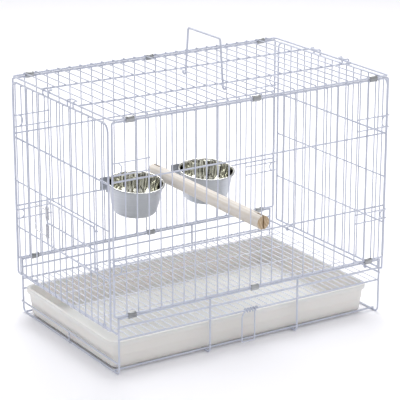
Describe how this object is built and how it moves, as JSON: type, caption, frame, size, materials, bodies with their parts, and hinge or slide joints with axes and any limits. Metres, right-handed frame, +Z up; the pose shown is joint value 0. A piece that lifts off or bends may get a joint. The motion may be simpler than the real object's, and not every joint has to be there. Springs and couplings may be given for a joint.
{
  "type": "folding bird travel cage",
  "caption": "Folding white wire travel cage for small birds, with drop-down handle, swing-out ends, spring-latched side door, slide-out tray, wood perch and lift-off steel cups.",
  "frame": {"origin": "on the floor, under the centre of the cage's outline", "axes": "+Z up, +X along the length towards the end the tray slides out of, -Y the front"},
  "size_m": [0.5271, 0.3336, 0.4732],
  "materials": {
    "white_powder_coat": "gloss white powder coat on steel wire",
    "dark_clip_steel": "dark zinc-plated sheet",
    "spring_steel": "bright spring wire",
    "cup_stainless": "polished inside, satin outside",
    "tray_plastic": "moulded cream plastic",
    "perch_wood": "bare pale softwood"
  },
  "bodies": {
    "base": {"base_front_side": "white_powder_coat", "base_rear_side": "white_powder_coat", "base_floor_wires": "white_powder_coat", "base_left_rail": "white_powder_coat", "base_right_rail": "white_powder_coat", "tray_stop_rail": "white_powder_coat", "floor_grille": "white_powder_coat", "lower_hinge_clips": "dark_clip_steel"},
    "tray": {"slide_tray": "tray_plastic"},
    "clip": {"swing_clip": "white_powder_coat"},
    "front_panel": {"front_frame": "white_powder_coat", "front_grid": "white_powder_coat", "front_corner_catches": "white_powder_coat"},
    "rear_panel": {"rear_frame": "white_powder_coat", "rear_grid": "white_powder_coat", "rear_corner_catches": "white_powder_coat"},
    "top_panel": {"top_frame": "white_powder_coat", "top_grid": "white_powder_coat", "upper_hinge_clips": "dark_clip_steel"},
    "handle": {"carrying_handle": "white_powder_coat"},
    "left_end": {"left_end_upper": "white_powder_coat", "left_end_front_strip": "white_powder_coat", "left_end_rear_strip": "white_powder_coat", "left_end_lower": "white_powder_coat", "left_end_hooks": "white_powder_coat"},
    "right_end": {"right_end_panel": "white_powder_coat", "right_end_hooks": "white_powder_coat"},
    "door": {"left_door": "white_powder_coat"},
    "latch": {"door_latch": "spring_steel"},
    "perch": {"wood_perch": "perch_wood"},
    "left_cup": {"left_cup": "cup_stainless", "left_cup_bracket": "cup_stainless"},
    "right_cup": {"right_cup": "cup_stainless", "right_cup_bracket": "cup_stainless"}
  },
  "joints": [
    {"name": "fold", "type": "hinge", "parent": "base", "child": "front_panel", "pos_m": [0, -0.15875, 0.096], "axis": [-1, 0, 0], "range_deg": [0, 40]},
    {"name": "rear_fold", "type": "hinge", "parent": "base", "child": "rear_panel", "pos_m": [0, 0.15875, 0.096], "axis": [-1, 0, 0], "range_deg": [0, 40]},
    {"name": "top_level", "type": "hinge", "parent": "front_panel", "child": "top_panel", "pos_m": [0, -0.15875, 0.3995], "axis": [1, 0, 0], "range_deg": [0, 40]},
    {"name": "perch_level", "type": "hinge", "parent": "front_panel", "child": "perch", "pos_m": [0.01016, -0.1613, 0.2015], "axis": [1, 0, 0], "range_deg": [0, 40]},
    {"name": "handle_drop", "type": "slide", "parent": "top_panel", "child": "handle", "axis": [0, 0, 1], "range_m": [-0.066, 0.006]},
    {"name": "left_end_swing", "type": "hinge", "parent": "base", "child": "left_end", "pos_m": [-0.25, 0, 0.069], "axis": [0, -1, 0], "range_deg": [0, 90]},
    {"name": "right_end_swing", "type": "hinge", "parent": "base", "child": "right_end", "pos_m": [0.25, 0, 0.069], "axis": [0, 1, 0], "range_deg": [0, 90]},
    {"name": "door_swing", "type": "hinge", "parent": "left_end", "child": "door", "pos_m": [-0.2601, -0.11906, 0.193], "axis": [0, 0, 1], "range_deg": [0, 100]},
    {"name": "latch_swing", "type": "hinge", "parent": "door", "child": "latch", "pos_m": [-0.26245, 0.03569, 0.1935], "axis": [0, 0, 1], "range_deg": [0, 100]},
    {"name": "tray_slide", "type": "slide", "parent": "base", "child": "tray", "axis": [1, 0, 0], "range_m": [0, 0.4]},
    {"name": "clip_swing", "type": "hinge", "parent": "base", "child": "clip", "pos_m": [-0.007, -0.15875, 0.058], "axis": [-1, 0, 0], "range_deg": [0, 90]},
    {"name": "left_cup_lift", "type": "slide", "parent": "rear_panel", "child": "left_cup", "axis": [0, 0, 1], "range_m": [0, 0.02]},
    {"name": "right_cup_lift", "type": "slide", "parent": "rear_panel", "child": "right_cup", "axis": [0, 0, 1], "range_m": [0, 0.02]}
  ],
  "couplings": [
    {"joint": "rear_fold", "follows": "fold", "ratio": 1},
    {"joint": "top_level", "follows": "fold", "ratio": 1},
    {"joint": "perch_level", "follows": "fold", "ratio": 1}
  ]
}
